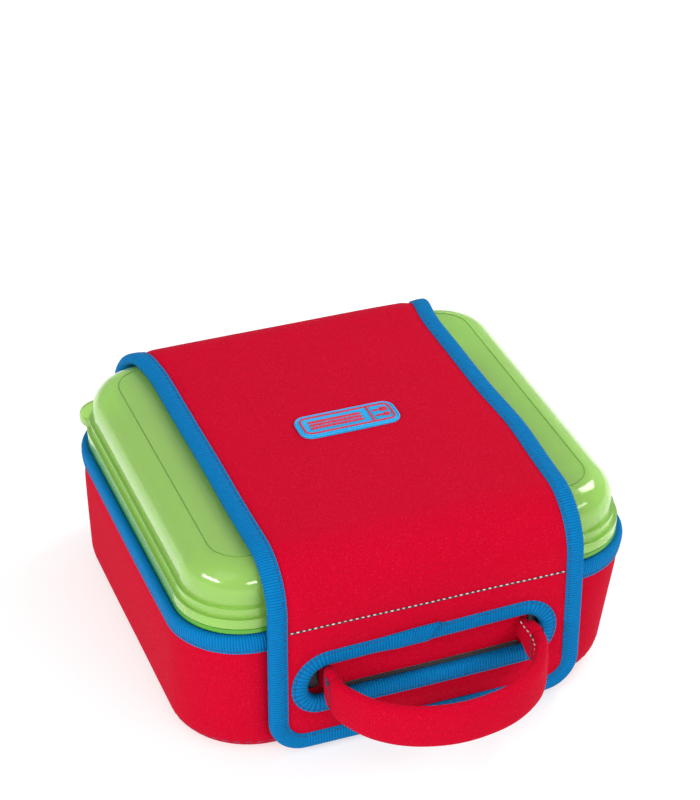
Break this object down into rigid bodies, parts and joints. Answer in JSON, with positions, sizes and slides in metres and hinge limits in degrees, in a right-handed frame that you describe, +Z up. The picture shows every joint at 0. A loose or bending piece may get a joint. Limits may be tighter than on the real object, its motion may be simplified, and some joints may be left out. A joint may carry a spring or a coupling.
{
  "type": "lunch box",
  "caption": "Translucent plastic box with a hinged domed lid in a soft jacket, closed by a wide bound flap that a bowed carrying handle comes out through.",
  "frame": {"origin": "centre of the footprint under the box, on the floor", "axes": "+X to the right, +Y to the back where the flap and lid hinge, +Z up; the handle stands out on -Y"},
  "size_m": [0.1917, 0.229, 0.0909],
  "materials": {
    "foam_red": "soft foam sheet faced with fine red jersey",
    "tape_blue": "ribbed woven binding tape",
    "lining_black": "brushed loop lining",
    "hook_black": "hook tape",
    "thread_dark": "stitched thread",
    "badge_blue": "soft moulded rubber",
    "badge_red": "soft moulded rubber",
    "box_green": "translucent moulded plastic",
    "pin_green": "moulded plastic"
  },
  "bodies": {
    "jacket": {"bottom_panel": "foam_red", "tray_wall": "foam_red", "rim_binding": "tape_blue", "hook_patch_left": "hook_black", "hook_patch_right": "hook_black", "flap_back_panel": "foam_red", "flap_binding_back": "tape_blue", "handle_base": "foam_red", "bartack_left": "thread_dark", "bartack_right": "thread_dark", "container_base": "box_green", "hinge_pin": "pin_green"},
    "flap_top": {"flap_top_panel": "foam_red", "flap_binding_top_left": "tape_blue", "flap_binding_top_right": "tape_blue", "badge": "badge_blue", "badge_inlay": "badge_red"},
    "flap_front": {"flap_front_panel": "foam_red", "flap_binding_front": "tape_blue", "slot_binding": "tape_blue", "loop_lining": "lining_black"},
    "lid": {"container_lid": "box_green"},
    "handle": {"handle_grip": "foam_red", "handle_core": "foam_red"}
  },
  "joints": [
    {"name": "flap_fold", "type": "hinge", "parent": "jacket", "child": "flap_top", "pos_m": [0, 0.0934, 0.0585], "axis": [-1, 0, 0], "range_deg": [0, 110], "deforming": ["handle_grip", "handle_core", "handle_base", "bartack_left", "bartack_right"]},
    {"name": "flap_peel", "type": "hinge", "parent": "flap_top", "child": "flap_front", "pos_m": [0, -0.07, 0.0904], "axis": [-1, 0, 0], "range_deg": [0, 150], "deforming": ["handle_grip", "handle_core", "handle_base", "bartack_left", "bartack_right"]},
    {"name": "lid_hinge", "type": "hinge", "parent": "jacket", "child": "lid", "pos_m": [0, 0.0862, 0.0606], "axis": [-1, 0, 0], "range_deg": [0, 90]},
    {"name": "handle_swing", "type": "hinge", "parent": "jacket", "child": "handle", "pos_m": [0, -0.097, 0.0335], "axis": [-1, 0, 0], "range_deg": [-25, 40]}
  ],
  "couplings": [
    {"joint": "lid_hinge", "follows": "flap_fold", "ratio": 0.8}
  ]
}
